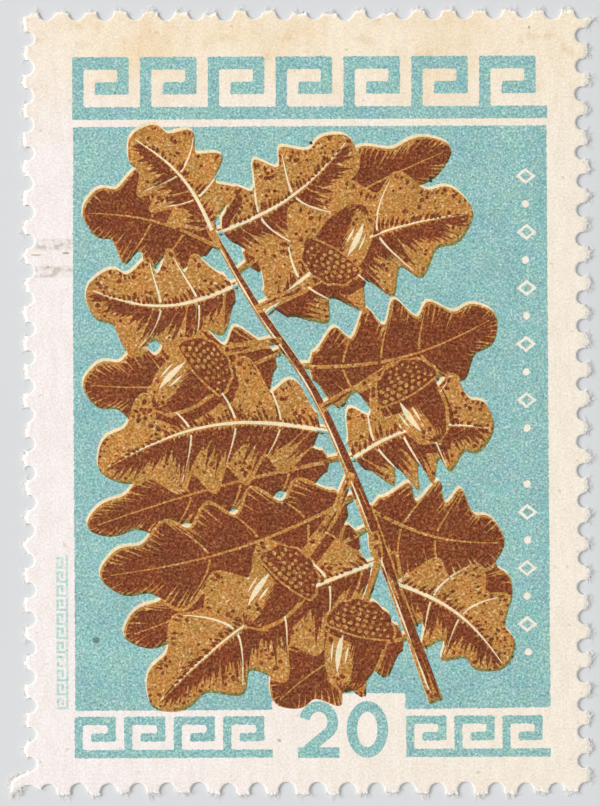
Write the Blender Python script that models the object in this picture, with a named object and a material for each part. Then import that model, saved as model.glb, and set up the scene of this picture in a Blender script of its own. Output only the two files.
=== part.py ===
"""Perforated postage stamp: a printed paper sheet with a dried gum film on its back.

The sheet lies flat with its printed face up: +Z out of the printed face, +Y up the design.
"""

import math
import random

import bmesh
import bpy

MM = 0.001

PAPER_THICKNESS = 0.10 * MM
GUM_THICKNESS = 0.02 * MM

# Perforation: four straight lines of punched holes that cross at the corners.
COLUMN_X = 13.757 * MM  # upright lines, left and right of the middle
COLUMN_HOLES = 28
COLUMN_PITCH = 1.435 * MM
COLUMN_PHASE = 0.065 * MM  # how far the upright lines sit above the middle
COLUMN_HOLE_RADIUS = 0.366 * MM
ROW_Y = 19.30 * MM  # level lines, above and below the middle
ROW_HOLES = 20
ROW_PITCH = 1.476 * MM
ROW_PHASE = -0.24 * MM  # how far the level lines sit right of the middle
ROW_HOLE_RADIUS = 0.43 * MM
HOLE_SIDES = 16
HOLE_WANDER = 0.045 * MM  # worn punch pins stand a little off their line
HOLE_RADIUS_SPREAD = 0.02 * MM
PUNCH_SEED = 14

# Torn teeth between the holes: how far each side's teeth reach past its line of holes.
TOOTH_REACH_LEFT = 0.25 * MM
TOOTH_REACH_RIGHT = 0.30 * MM
TOOTH_REACH_TOP = 0.06 * MM
TOOTH_REACH_BOTTOM = 0.20 * MM
# Share of the pitch past a hole, and share of the reach there.
TOOTH_PROFILE = ((0.0, 0.0), (0.30, 0.70), (0.43, 1.0), (0.57, 1.0), (0.70, 0.70))
TEAR_ROUGHNESS = 0.07 * MM
TEAR_SEED = 59

# Tuft of paper left at the lower left corner, as steps out from the hole line and down.
TUFT_TOP = -18.42 * MM
TUFT_STEPS = (
    (0.40 * MM, 0.0 * MM),
    (0.72 * MM, 0.12 * MM),
    (0.96 * MM, 0.36 * MM),
    (1.00 * MM, 0.72 * MM),
    (0.90 * MM, 1.04 * MM),
)

# Middle of the hole lines, seen from the middle of the finished outline.
SHEET_OFFSET = (0.3170 * MM, 0.0643 * MM)

PAPER_COLOUR = (0.90, 0.83, 0.73, 1.0)
PAPER_ROUGHNESS = 0.75
GUM_COLOUR = (0.86, 0.80, 0.64, 1.0)
GUM_ROUGHNESS = 0.30


def clear_objects():
    for old in list(bpy.data.objects):
        bpy.data.objects.remove(old, do_unlink=True)


def new_collection(name):
    collection = bpy.data.collections.new(name)
    bpy.context.scene.collection.children.link(collection)
    return collection


def new_material(name, colour, roughness):
    material = bpy.data.materials.new(name)
    material.use_nodes = True
    shader = material.node_tree.nodes["Principled BSDF"]
    shader.inputs["Base Color"].default_value = colour
    shader.inputs["Roughness"].default_value = roughness
    shader.inputs["Metallic"].default_value = 0.0
    return material


def line_positions(count, pitch, phase):
    return [phase + (index - (count - 1) / 2) * pitch for index in range(count)]


def punch_holes():
    """Centre and radius of every hole: both upright lines, then both level lines."""
    rng = random.Random(PUNCH_SEED)
    holes = []
    for x in (-COLUMN_X, COLUMN_X):
        for y in line_positions(COLUMN_HOLES, COLUMN_PITCH, COLUMN_PHASE):
            holes.append(wandered_hole(rng, x, y, COLUMN_HOLE_RADIUS))
    for y in (-ROW_Y, ROW_Y):
        for x in line_positions(ROW_HOLES, ROW_PITCH, ROW_PHASE):
            holes.append(wandered_hole(rng, x, y, ROW_HOLE_RADIUS))
    return holes


def wandered_hole(rng, x, y, radius):
    centre_x = x + rng.uniform(-1, 1) * HOLE_WANDER
    centre_y = y + rng.uniform(-1, 1) * HOLE_WANDER
    return centre_x, centre_y, radius + rng.uniform(-1, 1) * HOLE_RADIUS_SPREAD


def toothed_run(rng, positions, pitch, reach, across):
    """Points (along, across) of one side's torn teeth, in the order of its hole positions."""
    points = []
    for position in positions:
        for share, height in TOOTH_PROFILE:
            rough = rng.uniform(-1, 1) * TEAR_ROUGHNESS * (share > 0)
            points.append((position + share * pitch, across + height * reach + rough))
    return points


def torn_outline():
    """Outline of the sheet before the holes are taken out, counter-clockwise."""
    rng = random.Random(TEAR_SEED)
    rows = line_positions(ROW_HOLES, ROW_PITCH, ROW_PHASE)[:-1]
    columns = line_positions(COLUMN_HOLES, COLUMN_PITCH, COLUMN_PHASE)[:-1]
    bottom = toothed_run(rng, rows, ROW_PITCH, TOOTH_REACH_BOTTOM, ROW_Y)
    right = toothed_run(rng, columns, COLUMN_PITCH, TOOTH_REACH_RIGHT, COLUMN_X)
    top = toothed_run(rng, rows, ROW_PITCH, TOOTH_REACH_TOP, ROW_Y)
    left = toothed_run(rng, columns, COLUMN_PITCH, TOOTH_REACH_LEFT, COLUMN_X)
    outline = [(x, -y) for x, y in bottom if x > -COLUMN_X]
    outline += [(x, y) for y, x in right]
    outline += [(x, y) for x, y in reversed(top) if abs(x) < COLUMN_X]
    outline += [(-x, y) for y, x in reversed(left) if y > TUFT_TOP]
    outline += [(-COLUMN_X - out, TUFT_TOP - down) for out, down in TUFT_STEPS]
    return outline


def make_punch(collection, holes):
    """Every punch pin in one cutter mesh, tall enough to pass through paper and gum."""
    cutter = bmesh.new()
    depth = 4 * (PAPER_THICKNESS + GUM_THICKNESS)
    for x, y, radius in holes:
        pin = bmesh.ops.create_cone(
            cutter, cap_ends=True, segments=HOLE_SIDES, radius1=radius, radius2=radius, depth=depth
        )
        centre = (x + SHEET_OFFSET[0], y + SHEET_OFFSET[1], 0.0)
        bmesh.ops.translate(cutter, verts=pin["verts"], vec=centre)
    mesh = bpy.data.meshes.new("perforation_punch")
    cutter.to_mesh(mesh)
    cutter.free()
    punch = bpy.data.objects.new("perforation_punch", mesh)
    punch.hide_render = True
    punch.display_type = "WIRE"
    collection.objects.link(punch)
    return punch


def make_sheet(collection, name, outline, bottom, thickness, material):
    """Flat closed sheet of the given outline, standing on the height bottom."""
    curve = bpy.data.curves.new(name + "_outline", "CURVE")
    curve.dimensions = "2D"
    curve.fill_mode = "BOTH"
    curve.extrude = thickness / 2
    spline = curve.splines.new("POLY")
    spline.points.add(len(outline) - 1)
    for point, (x, y) in zip(spline.points, outline):
        point.co = (x + SHEET_OFFSET[0], y + SHEET_OFFSET[1], 0.0, 1.0)
    spline.use_cyclic_u = True
    source = bpy.data.objects.new(name + "_outline", curve)
    bpy.context.scene.collection.objects.link(source)
    depsgraph = bpy.context.evaluated_depsgraph_get()
    mesh = bpy.data.meshes.new_from_object(source.evaluated_get(depsgraph))
    bpy.data.objects.remove(source, do_unlink=True)
    welded = bmesh.new()
    welded.from_mesh(mesh)
    bmesh.ops.remove_doubles(welded, verts=welded.verts, dist=0.001 * MM)
    for vertex in welded.verts:
        vertex.co.z = bottom + thickness if vertex.co.z > 0 else bottom
    bmesh.ops.recalc_face_normals(welded, faces=welded.faces)
    for side in (1, -1):
        cap = [face for face in welded.faces if face.normal.z * side > 0.5]
        bmesh.ops.dissolve_faces(welded, faces=cap)
    welded.to_mesh(mesh)
    welded.free()
    mesh.name = name
    mesh.materials.clear()
    mesh.materials.append(material)
    sheet = bpy.data.objects.new(name, mesh)
    collection.objects.link(sheet)
    return sheet


def perforate(sheet, punch):
    cut = sheet.modifiers.new("perforation", "BOOLEAN")
    cut.operation = "DIFFERENCE"
    cut.solver = "EXACT"
    cut.use_self = True
    cut.object = punch


def main():
    clear_objects()
    stamp = new_collection("postage_stamp")
    cutters = new_collection("cutters")
    outline = torn_outline()
    punch = make_punch(cutters, punch_holes())
    paper_material = new_material("paper", PAPER_COLOUR, PAPER_ROUGHNESS)
    gum_material = new_material("gum", GUM_COLOUR, GUM_ROUGHNESS)
    gum = make_sheet(stamp, "gum", outline, 0.0, GUM_THICKNESS, gum_material)
    paper = make_sheet(stamp, "paper", outline, GUM_THICKNESS, PAPER_THICKNESS, paper_material)
    perforate(gum, punch)
    perforate(paper, punch)


main()
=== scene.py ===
import math
import random
from functools import partial

import bpy
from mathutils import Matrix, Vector
from mathutils.geometry import delaunay_2d_cdt


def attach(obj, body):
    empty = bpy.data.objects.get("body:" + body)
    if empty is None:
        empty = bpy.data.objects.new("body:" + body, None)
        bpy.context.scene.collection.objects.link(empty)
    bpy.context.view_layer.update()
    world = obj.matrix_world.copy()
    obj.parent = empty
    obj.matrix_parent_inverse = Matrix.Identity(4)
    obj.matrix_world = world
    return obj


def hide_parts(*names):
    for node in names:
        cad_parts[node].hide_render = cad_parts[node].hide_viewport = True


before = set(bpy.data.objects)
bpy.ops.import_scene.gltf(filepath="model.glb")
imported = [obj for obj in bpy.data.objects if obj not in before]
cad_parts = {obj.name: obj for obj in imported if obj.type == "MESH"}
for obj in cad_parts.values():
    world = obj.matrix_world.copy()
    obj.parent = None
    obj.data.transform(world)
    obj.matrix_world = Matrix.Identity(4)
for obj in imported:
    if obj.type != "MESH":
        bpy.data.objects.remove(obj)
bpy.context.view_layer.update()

mm = 0.001
designOffset = (0.3170, 0.0643)  # middle of the hole lines, in mm from the origin
closest = 1e-5  # in mm; points nearer than this are one

# heights in mm above the table; the ink films stand in the paper and rise just above it
layers = {
    "gumTop": 0.020,
    "inkRoot": 0.100,
    "paperTop": 0.106,
    "washTop": 0.1075,
    "turquoiseTop": 0.109,
    "ochreTop": 0.113,
    "stippleTop": 0.1155,
    "brownTop": 0.117,
    "speckTop": 0.119,
}

nodeFamilies = {
    "ShaderNodeTree": ("ShaderNode",),
    "GeometryNodeTree": ("GeometryNode", "FunctionNode", "ShaderNode", "Node"),
}


def hexColour(text):
    # sRGB hex to linear, for node sockets
    parts = [int(text[k:k + 2], 16) / 255 for k in (1, 3, 5)]
    return [p / 12.92 if p <= 0.04045 else ((p + 0.055) / 1.055) ** 2.4 for p in parts] + [1.0]


def setInputs(node, inputs):
    # by name, number or order; an input takes a value, a hex colour, a socket or a node's first live output
    for key, value in inputs.items() if isinstance(inputs, dict) else enumerate(inputs):
        if isinstance(value, bpy.types.Node):
            value = next(socket for socket in value.outputs if socket.enabled)
        if isinstance(value, bpy.types.NodeSocket):
            node.id_data.links.new(value, node.inputs[key])
        elif isinstance(value, str) and value.startswith("#"):
            node.inputs[key].default_value = hexColour(value)
        else:
            node.inputs[key].default_value = value


def addNode(tree, kind, inputs=(), ramp=(), **settings):
    # kind is a node's type without its family; ramp holds (position, colour, grey or tint) in rising order
    family = next(family for family in nodeFamilies[tree.bl_idname] if hasattr(bpy.types, family + kind))
    node = tree.nodes.new(family + kind)
    for key, value in settings.items():
        setattr(node, key, value)
    setInputs(node, inputs)
    for index, (position, colour) in enumerate(ramp):
        if index == len(node.color_ramp.elements):
            node.color_ramp.elements.new(1.0)
        element = node.color_ramp.elements[index]
        element.position = position
        if isinstance(colour, str):
            element.color = hexColour(colour)
        else:
            element.color = (*colour, 1.0) if isinstance(colour, tuple) else (colour, colour, colour, 1.0)
    return node


def newMaterial(name, roughness, ior):
    material = bpy.data.materials.new(name)
    material.use_nodes = True
    shader = material.node_tree.nodes["Principled BSDF"]
    setInputs(shader, {"Roughness": roughness, "IOR": ior})
    return material, partial(addNode, material.node_tree), shader


def meshObject(name, coords=(), edges=(), faces=()):
    mesh = bpy.data.meshes.new(name)
    mesh.from_pydata(coords, edges, faces)
    made = bpy.data.objects.new(name, mesh)
    bpy.context.scene.collection.objects.link(made)
    return made


def metres(values):
    return [value * mm for value in values]


def onSheet(x, y, height=0.0):
    # a place in the design and its height, in mm, to the scene's metres
    return (x + designOffset[0]) * mm, (y + designOffset[1]) * mm, height * mm


def rightOf(a, b):
    # unit normal to the right of the way from a to b
    length = math.dist(a, b) or 1.0
    return (b[1] - a[1]) / length, (a[0] - b[0]) / length


def stepOff(point, way, distance):
    return point[0] + way[0] * distance, point[1] + way[1] * distance


def between(a, b, share):
    return a[0] + (b[0] - a[0]) * share, a[1] + (b[1] - a[1]) * share


def ringLoop(x, y, wide, tall, sides):
    return [(x + wide * math.cos(2 * math.pi * k / sides), y + tall * math.sin(2 * math.pi * k / sides))
            for k in range(sides)]


def signedArea(loop):
    return sum(a[0] * b[1] - b[0] * a[1] for a, b in zip(loop, loop[1:] + loop[:1])) / 2


def coverPlane(groups, points=()):
    # triangles over all the loops, each with the names of the groups that cover it
    coords, faces, owners = [], [], []
    for owner, loops in groups.items():
        for loop in loops:
            ordered = loop if signedArea(loop) > 0 else loop[::-1]
            faces.append(list(range(len(coords), len(coords) + len(ordered))))
            coords.extend(Vector((x, y)) for x, y in ordered)
            owners.append(owner)
    coords.extend(Vector((x, y)) for x, y in points)
    verts, _, tris, _, _, origins = delaunay_2d_cdt(coords, [], faces, 1, closest, True)
    covers = [{owners[k] for k in origin} for origin in origins]
    return [(v.x, v.y) for v in verts], tris, covers


def keptTriangles(plane, keep):
    verts, tris, covers = plane
    return verts, [(tri, cover) for tri, cover in zip(tris, covers) if keep(cover)]


def regionOf(loops):
    return keptTriangles(coverPlane({"form": loops}), bool)


def boundaryEdges(kept):
    # edges with a triangle on one side only, and that triangle's cover
    edges = {(a, b): cover for tri, cover in kept for a, b in zip(tri, tri[1:] + tri[:1])}
    return [(a, b, cover) for (a, b), cover in edges.items() if (b, a) not in edges]


def slabObject(name, regions, bottom, top, shift=(0.0, 0.0), flags=None):
    # closed slab over each region; flags name face attributes and say which covers raise them
    flags = flags or {}
    coords, faces, values = [], [], {flag: [] for flag in flags}
    for verts, kept in regions:
        used = sorted({index for tri, _ in kept for index in tri})
        place = {index: len(coords) + k for k, index in enumerate(used)}
        lift = len(used)
        for height in (top, bottom):
            coords += [onSheet(*stepOff(verts[index], shift, 1), height) for index in used]
        for tri, cover in kept:
            faces.append(tuple(place[index] for index in tri))
            faces.append(tuple(place[index] + lift for index in reversed(tri)))
            for flag, raised in flags.items():
                values[flag] += [float(raised(cover))] * 2
        for a, b, cover in boundaryEdges(kept):
            faces.append((place[b], place[a], place[a] + lift, place[b] + lift))
            for flag, raised in flags.items():
                values[flag].append(float(raised(cover)))
    slab = meshObject(name, coords, [], faces)
    for flag in flags:
        slab.data.attributes.new(flag, "FLOAT", "FACE").data.foreach_set("value", values[flag])
    slab.data.update()
    return slab


def newTree(name, sockets):
    # geometry tree with its named inputs; returns it, its adder and its inputs
    tree = bpy.data.node_groups.new(name, "GeometryNodeTree")
    for way in ("INPUT", "OUTPUT"):
        tree.interface.new_socket("Geometry", in_out=way, socket_type="NodeSocketGeometry")
    for label, kind in sockets:
        tree.interface.new_socket(label, in_out="INPUT", socket_type="NodeSocket" + kind)
    return tree, partial(addNode, tree), addNode(tree, "GroupInput").outputs


def endTree(add, geometry, material):
    real = add("RealizeInstances", {"Geometry": geometry})
    skin = add("SetMaterial", {"Geometry": real, "Material": material})
    add("GroupOutput", {"Geometry": skin})


def growMesh(piece, tree, values):
    # run the tree on the piece once and keep its result as the piece's own mesh
    modifier = piece.modifiers.new(tree.name, "NODES")
    modifier.node_group = tree
    for socket in tree.interface.items_tree:
        if socket.in_out == "INPUT" and socket.name in values:
            modifier[socket.identifier] = values[socket.name]
    piece.update_tag()
    graph = bpy.context.evaluated_depsgraph_get()
    mesh = bpy.data.meshes.new_from_object(piece.evaluated_get(graph))
    mesh.name = piece.name
    piece.modifiers.clear()
    piece.data = mesh
    return piece


def dropHelpers(*helpers):
    for helper in helpers:
        bpy.data.objects.remove(helper, do_unlink=True)


def reportPiece(piece):
    print(piece.name + ":", len(piece.data.polygons), "faces")


# the sheet: four straight lines of punched holes, torn apart along them; in mm
sheet = {
    "columnX": 13.757, "columnHoles": 28, "columnPitch": 1.435, "columnPhase": 0.065,
    "columnHoleRadius": 0.366,
    "rowY": 19.30, "rowHoles": 20, "rowPitch": 1.476, "rowPhase": -0.24, "rowHoleRadius": 0.43,
    "holeWander": 0.045, "holeSpread": 0.02, "punchSeed": 14, "holeSides": 44, "holeFrayed": 0.010,
    "reachLeft": 0.25, "reachRight": 0.30, "reachTop": 0.06, "reachBottom": 0.20,
    # share of the pitch past a hole, and share of the reach there
    "toothProfile": ((0.0, 0.0), (0.30, 0.70), (0.43, 1.0), (0.57, 1.0), (0.70, 0.70)),
    "tearRoughness": 0.07, "toothWear": 0.15, "wearPower": 3, "tearSeed": 59,
    "tearDetail": 7, "tearWander": 0.3, "tearFray": 0.030, "tearSlack": 0.004,
    # the torn tongue at the lower left, as steps out and down from the corner column;
    # the bottom row's teeth start after the gap
    "tuftTop": -18.42, "tuftGap": 0.6,
    "tuftSteps": ((0.40, 0.0), (0.70, 0.12), (0.94, 0.34), (1.00, 0.66), (0.93, 0.98), (0.80, 1.00),
                  (0.52, 0.74), (0.20, 0.52)),
    # the pulled tip at the upper right, which the punch left whole
    "cornerTip": ((14.00, 18.46), (14.10, 18.66), (14.27, 18.84), (14.08, 18.98)),
    # the mesh: rings of points round each hole, rows of points inside each tear, and a loose grid between
    "holeRings": (0.028, 0.06, 0.11, 0.19), "tearRows": (0.05, 0.11, 0.18),
    "gridStep": 0.55, "gridColumns": 25, "gridRows": 35, "gridWander": 0.3,
    # how far from a cut or a tear the top starts to fall, and how far it falls
    "rimWidth": 0.055, "rimDrop": 0.020, "featherWidth": 0.16, "featherDrop": 0.050, "rimSlack": 0.016,
}


def linePositions(line):
    count, pitch, phase = sheet[line + "Holes"], sheet[line + "Pitch"], sheet[line + "Phase"]
    return [phase + (index - (count - 1) / 2) * pitch for index in range(count)]


def punchHoles():
    rng = random.Random(sheet["punchSeed"])
    columnX, rowY = sheet["columnX"], sheet["rowY"]
    columns = [(x, y, "column") for x in (-columnX, columnX) for y in linePositions("column")]
    rows = [(x, y, "row") for y in (-rowY, rowY) for x in linePositions("row")]
    holes = []
    for x, y, line in columns + rows:
        centreX = x + rng.uniform(-1, 1) * sheet["holeWander"]
        centreY = y + rng.uniform(-1, 1) * sheet["holeWander"]
        radius = sheet[line + "HoleRadius"] + rng.uniform(-1, 1) * sheet["holeSpread"]
        holes.append((centreX, centreY, radius))
    # the torn tongue covers the bottom row's first hole
    del holes[len(columns)]
    return holes


def toothedRun(rng, line, reach, across):
    # points along and across one side's torn teeth
    points = []
    for position in linePositions(line)[:-1]:
        # few teeth are worn much
        worn = sheet["toothWear"] * rng.random() ** sheet["wearPower"]
        for share, height in sheet["toothProfile"]:
            rough = (rng.uniform(-1, 1) * sheet["tearRoughness"] - worn * height) * (share > 0)
            points.append((position + share * sheet[line + "Pitch"], across + height * reach + rough))
    return points


def tornOutline():
    # the sheet's outline before the holes are taken out, counter-clockwise from the lower left
    rng = random.Random(sheet["tearSeed"])
    columnX, rowY = sheet["columnX"], sheet["rowY"]
    bottom = toothedRun(rng, "row", sheet["reachBottom"], rowY)
    right = toothedRun(rng, "column", sheet["reachRight"], columnX)
    top = toothedRun(rng, "row", sheet["reachTop"], rowY)
    left = toothedRun(rng, "column", sheet["reachLeft"], columnX)
    outline = [(x, -y) for x, y in bottom if x > -columnX + sheet["tuftGap"]]
    outline += [(x, y) for y, x in right[:1 - len(sheet["toothProfile"])]]
    outline += sheet["cornerTip"]
    outline += [(x, y) for x, y in reversed(top) if abs(x) < columnX]
    outline += [(-x, y) for y, x in reversed(left) if y > sheet["tuftTop"]]
    outline += [(-columnX - out, sheet["tuftTop"] - down) for out, down in sheet["tuftSteps"]]
    return outline


def frayedOutline(outline):
    # each straight tear broken into steps as wide as a fibre, all bitten inwards
    rng = random.Random(sheet["tearSeed"] + 1)
    detail = sheet["tearDetail"]
    points = []
    for a, b in zip(outline, outline[1:] + outline[:1]):
        normal = rightOf(a, b)
        for k in range(detail):
            wander = rng.uniform(-1, 1) * sheet["tearWander"] if k else 0.0
            t = (k + wander) / detail
            bite = abs(rng.gauss(0, 1)) * sheet["tearFray"] if k else sheet["tearSlack"]
            points.append(stepOff(between(a, b, t), normal, -bite))
    return points


def holeRing(hole, rng, grow=0.0):
    x, y, radius = hole
    ring = []
    for k in range(sheet["holeSides"]):
        angle = 2 * math.pi * k / sheet["holeSides"]
        reach = radius + grow + (rng.uniform(-1, 1) * sheet["holeFrayed"] if not grow else 0.0)
        ring.append(stepOff((x, y), (math.cos(angle), math.sin(angle)), reach))
    return ring


def sheetRegion():
    rng = random.Random(sheet["punchSeed"] + 1)
    holes = punchHoles()
    outline = frayedOutline(tornOutline())
    points = []
    for hole in holes:
        for grow in sheet["holeRings"]:
            points += holeRing(hole, rng, grow)[::2]
    for before, point, after in zip(outline[-1:] + outline, outline, outline[1:] + outline[:1]):
        points += [stepOff(point, rightOf(before, after), -depth) for depth in sheet["tearRows"]]
    step, wander = sheet["gridStep"], sheet["gridWander"]
    for row in range(-sheet["gridRows"], sheet["gridRows"] + 1):
        for column in range(-sheet["gridColumns"], sheet["gridColumns"] + 1):
            points.append(((column + rng.uniform(-wander, wander)) * step,
                           (row + rng.uniform(-wander, wander)) * step))
    plane = coverPlane({"sheet": [outline], "hole": [holeRing(hole, rng) for hole in holes]}, points)
    return keptTriangles(plane, lambda cover: cover == {"sheet"}), holes


def storeOutward(mesh, ways):
    # the way out of the sheet at each point, which the loose fibres follow
    values = [value for way in ways for value in (*way, 0.0)]
    mesh.attributes.new("outward", "FLOAT_VECTOR", "POINT").data.foreach_set("vector", values)


def edgeHelpers(region, holes):
    # the outline's edges, parted into punched and torn, as helpers for the relief tree
    verts, kept = region
    parted = {"punched": [], "torn": []}
    for a, b, _ in boundaryEdges(kept):
        middle = [(verts[a][k] + verts[b][k]) / 2 for k in (0, 1)]
        slack = min(abs(math.hypot(middle[0] - x, middle[1] - y) - radius) for x, y, radius in holes)
        parted["punched" if slack < sheet["rimSlack"] else "torn"].append((verts[a], verts[b]))
    helpers = {}
    for kind, edges in parted.items():
        coords = [onSheet(*point) for edge in edges for point in edge]
        links = [(k, k + 1) for k in range(0, len(coords), 2)]
        helpers[kind] = meshObject(kind + "Edges", coords, links)
        storeOutward(helpers[kind].data, [rightOf(*edge) for edge in edges for _ in edge])
    return helpers


paperLook = {
    "roughness": 0.78, "ior": 1.48, "bump": 0.35, "bumpDepth": 0.02,
    # white at the left, cream at the right and deeper cream at the top, of which the left margin is
    # spared half; the runs are in mm from the origin
    "left": "#F8EEEA", "right": "#F8ECDA", "sideRun": (-12.5, 12.5),
    "top": "#F8E8CE", "topRun": (11.8, 18.2), "sparedRun": (-14.2, -9.5), "spared": 0.5,
    # patches: how many to the millimetre, detail, where they start and how strong they get, colour
    "fox": (0.21, 3.0, ((0.46, 0.0), (0.66, 0.55)), "#EFCF9F"),
    "spot": (1.25, 2.0, ((0.56, 0.0), (0.72, 0.34)), "#DDB683"),
    "fleck": (3.3, 0.0, ((0.80, 0.0), (0.87, 0.32)), "#A98E6C"),
    "smudge": (3.0, 3.0, ((0.40, 0.08), (0.50, 0.16), (0.64, 0.58)), "#A69C80"),
    # pulp flocks and streaks, to the millimetre, with the tint they run between
    "pulpPerMm": 8.8, "pulpTint": ((0.30, (0.89, 0.88, 0.85)), (0.70, (1.08, 1.09, 1.12))),
    "streakPerMm": 2.6, "streakStretch": (1.0, 0.3, 1.0),
    "streakTint": ((0.30, (0.965, 0.96, 0.945)), (0.70, (1.025, 1.03, 1.04))),
    "fibrePerMm": 1.5, "fibreWhite": "#FFFFFF", "fibreShare": ((0.0, 0.12), (0.05, 0.0)),
    "warpPerMm": 0.9, "warp": 1.2, "fuzzPerMm": 14.0,
    # two smudged bars across the left margin: their middle, where they fade and are full, in mm;
    # their wave turns 4.7 radians to the millimetre, which puts them 1.34 mm apart
    "barMiddle": (-12.22, 7.18, 0.0), "barReach": (1.6, 1.1),
    "barTurnPerMm": 4.7, "barPhase": 0.82, "barEdge": (-0.1, 0.6),
    "bare": "#FFFDF8", "bareShare": 0.85,
}


def paperMaterial():
    # uncoated stamp paper: machine-made wood pulp, toned cream where light and damp reached it,
    # with a little foxing, and white where it is torn
    look = paperLook
    material, add, shader = newMaterial("tonedStampPaper", look["roughness"], look["ior"])
    coords = add("TexCoord").outputs["Object"]
    place = add("SeparateXYZ", (coords,)).outputs
    topTone = add("MapRange", (place["Y"], *metres(look["topRun"])), interpolation_type="SMOOTHSTEP")
    rightTone = add("MapRange", (place["X"], *metres(look["sideRun"])), interpolation_type="SMOOTHSTEP")
    spared = add("MapRange", (place["X"], *metres(look["sparedRun"]), look["spared"]))
    toneShare = add("Math", (topTone, spared), operation="MULTIPLY")

    barNear = add("VectorMath", (coords, metres(look["barMiddle"])), operation="DISTANCE")
    barFade = add("MapRange", (barNear, *metres(look["barReach"])), interpolation_type="SMOOTHSTEP")
    barTurn = add("Math", (place["Y"], look["barTurnPerMm"] / mm, look["barPhase"]), operation="MULTIPLY_ADD")
    barWave = add("Math", (barTurn,), operation="COSINE")
    bars = add("MapRange", (barWave, *look["barEdge"]), interpolation_type="SMOOTHSTEP")
    barShare = add("Math", (barFade, bars), operation="MULTIPLY")

    shares = {}
    for name, limit in (("fox", topTone), ("spot", topTone), ("fleck", None), ("smudge", barShare)):
        perMm, detail, ramp, _ = look[name]
        noise = add("TexNoise", {"Vector": coords, "Scale": perMm / mm, "Detail": detail})
        mask = add("ValToRGB", (noise,), ramp)
        shares[name] = add("Math", (mask, limit), operation="MULTIPLY") if limit else mask

    pulp = add("TexNoise", {"Vector": coords, "Scale": look["pulpPerMm"] / mm, "Detail": 3.0})
    pulpTint = add("ValToRGB", (pulp,), look["pulpTint"])
    # the web's run: pulp lies in faint streaks up the sheet, about 0.2 mm wide
    stretched = add("VectorMath", (coords, look["streakStretch"]), operation="MULTIPLY")
    streaks = add("TexNoise", {"Vector": stretched, "Scale": look["streakPerMm"] / mm, "Detail": 1.0})
    streakTint = add("ValToRGB", (streaks,), look["streakTint"])
    # bent white fibres between the flocks
    warp = add("TexNoise", {"Vector": coords, "Scale": look["warpPerMm"] / mm, "Detail": 1.0})
    warped = add("VectorMath", {0: warp.outputs["Color"], "Scale": look["warp"] * mm}, operation="SCALE")
    bent = add("VectorMath", (coords, warped), operation="ADD")
    fibres = add("TexVoronoi", {"Vector": bent, "Scale": look["fibrePerMm"] / mm}, feature="DISTANCE_TO_EDGE")
    fibreShare = add("ValToRGB", (fibres,), look["fibreShare"])
    # bare pulp beside the cuts and tears
    rim = add("Attribute", attribute_name="rimShare").outputs["Fac"]
    feather = add("Attribute", attribute_name="featherShare").outputs["Fac"]
    bare = add("Math", (rim, feather), operation="MAXIMUM")
    bareShare = add("Math", (bare, look["bareShare"]), operation="MULTIPLY")

    # the layers from the bottom up; a colour mix takes its share at 0, the colours under and over at 6 and 7
    colour = add("Mix", {0: rightTone, 6: look["left"], 7: look["right"]}, data_type="RGBA")
    for share, tint, blend in (
        (toneShare, look["top"], "MIX"), (shares["fox"], look["fox"][-1], "MIX"),
        (shares["spot"], look["spot"][-1], "MIX"), (1.0, pulpTint, "MULTIPLY"), (1.0, streakTint, "MULTIPLY"),
        (fibreShare, look["fibreWhite"], "MIX"), (shares["fleck"], look["fleck"][-1], "MIX"),
        (shares["smudge"], look["smudge"][-1], "MIX"), (bareShare, look["bare"], "MIX"),
    ):
        colour = add("Mix", {0: share, 6: colour, 7: tint}, data_type="RGBA", blend_type=blend)
    fuzz = add("TexNoise", {"Vector": coords, "Scale": look["fuzzPerMm"] / mm, "Detail": 3.0})
    relief = add("Math", (pulp, fuzz), operation="ADD")
    bump = add("Bump", {"Strength": look["bump"], "Distance": look["bumpDepth"] * mm, "Height": relief})
    setInputs(shader, {"Base Color": colour, "Normal": bump})
    return material


def edgeReliefTree():
    # lowers the sheet's top towards its edges and stores how near each point is to a cut or a tear
    tree, add, given = newTree("edgeRelief", (
        ("Punched Edges", "Object"), ("Torn Edges", "Object"), ("Rim Width", "Float"), ("Rim Drop", "Float"),
        ("Feather Width", "Float"), ("Feather Drop", "Float"), ("Middle Height", "Float"),
        ("Paper", "Material"),
    ))
    geometry, drops = given["Geometry"], []
    position = add("InputPosition")
    flat = add("VectorMath", (position, (1.0, 1.0, 0.0)), operation="MULTIPLY")
    for edges, label in (("Punched Edges", "Rim"), ("Torn Edges", "Feather")):
        info = add("ObjectInfo", {"Object": given[edges]}, transform_space="ORIGINAL").outputs["Geometry"]
        near = add("Proximity", {"Geometry": info, "Sample Position": flat}, target_element="EDGES")
        share = add("MapRange", (near.outputs["Distance"], given[label + " Width"], 0.0))
        geometry = add("StoreNamedAttribute", {
            "Geometry": geometry, "Name": label.lower() + "Share", "Value": share,
        }, data_type="FLOAT", domain="POINT")
        curved = add("Math", (share, 2.0), operation="POWER")
        drops.append(add("Math", (curved, given[label + " Drop"]), operation="MULTIPLY"))
    both = add("Math", drops, operation="MAXIMUM")
    down = add("Math", (both, -1.0), operation="MULTIPLY")
    offset = add("CombineXYZ", {"Z": down})
    height = add("SeparateXYZ", (position,)).outputs["Z"]
    upper = add("Compare", (height, given["Middle Height"]), data_type="FLOAT", operation="GREATER_THAN")
    moved = add("SetPosition", {"Geometry": geometry, "Selection": upper, "Offset": offset})
    endTree(add, moved, given["Paper"])
    return tree


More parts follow.
